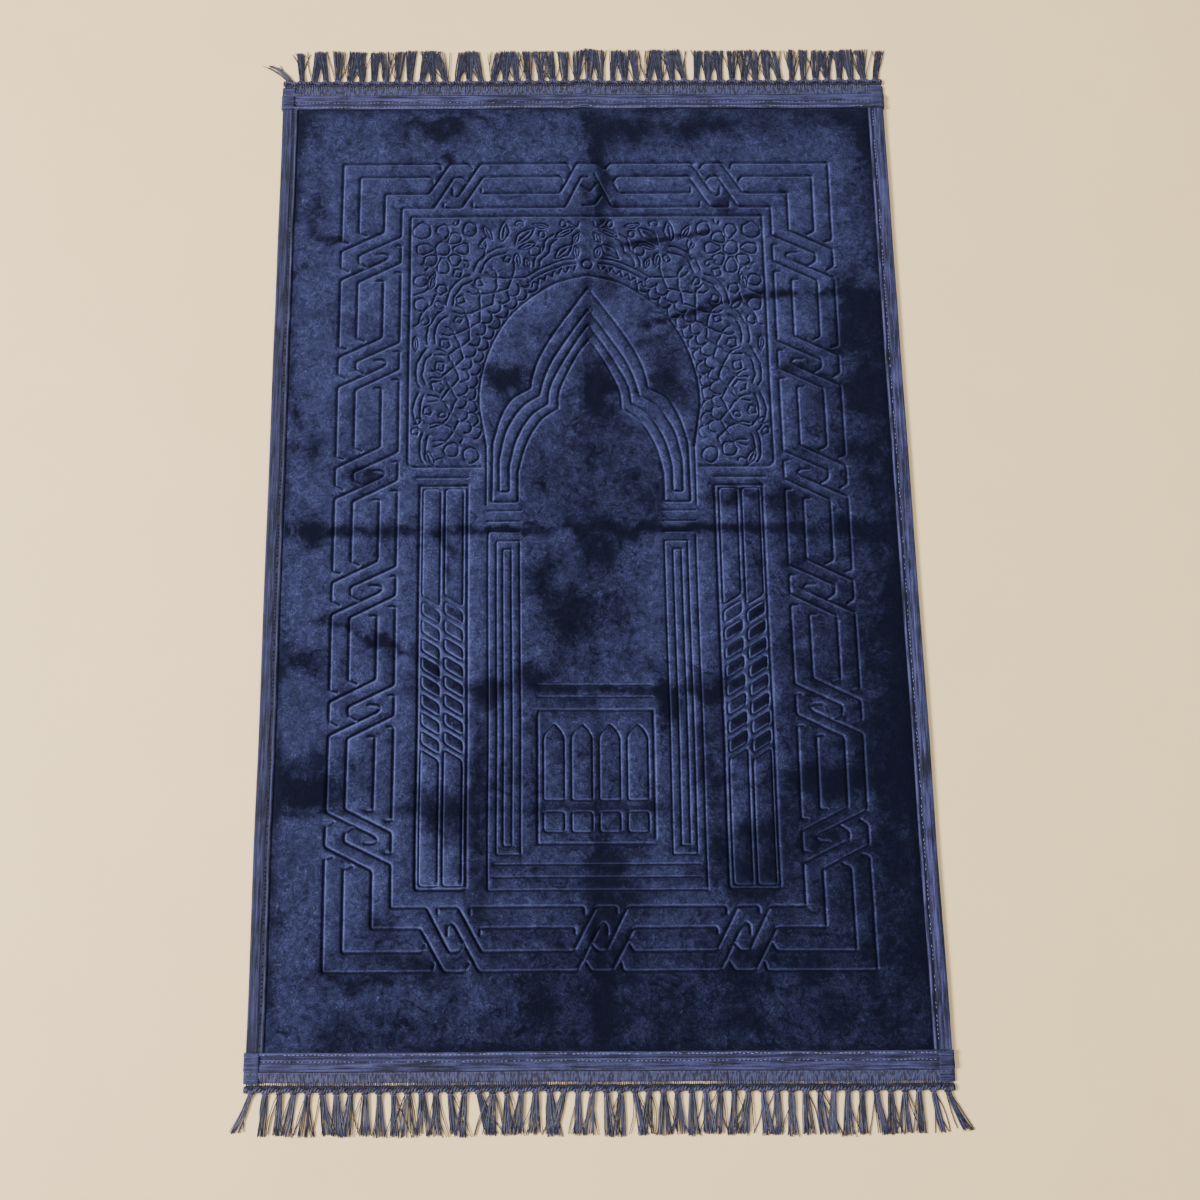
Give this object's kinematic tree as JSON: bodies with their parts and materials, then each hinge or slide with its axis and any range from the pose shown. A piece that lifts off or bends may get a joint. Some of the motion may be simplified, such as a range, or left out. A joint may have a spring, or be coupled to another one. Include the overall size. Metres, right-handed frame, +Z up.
{
  "type": "prayer rug",
  "caption": "Padded velvet prayer rug lying flat, pressed with an arch between columns in an interlaced border, bound in folded tape, with a knotted fringe at each short end.",
  "frame": {"origin": "on the floor under the middle of the rug's bounding box", "axes": "+X across the rug, +Y along it towards the end that the arch points to, +Z up"},
  "size_m": [0.7395, 1.2075, 0.006],
  "materials": {
    "velvet_pile": "short navy velvet pile, brushed unevenly",
    "binding_tape": "matt navy woven tape",
    "fringe_yarn": "fine navy yarn, slightly glossy"
  },
  "bodies": {
    "root": {"mat": "velvet_pile", "side_binding_left": "binding_tape", "side_binding_right": "binding_tape", "end_binding_head": "binding_tape", "end_binding_foot": "binding_tape", "fringe_head": "fringe_yarn", "fringe_foot": "fringe_yarn"}
  },
  "joints": []
}
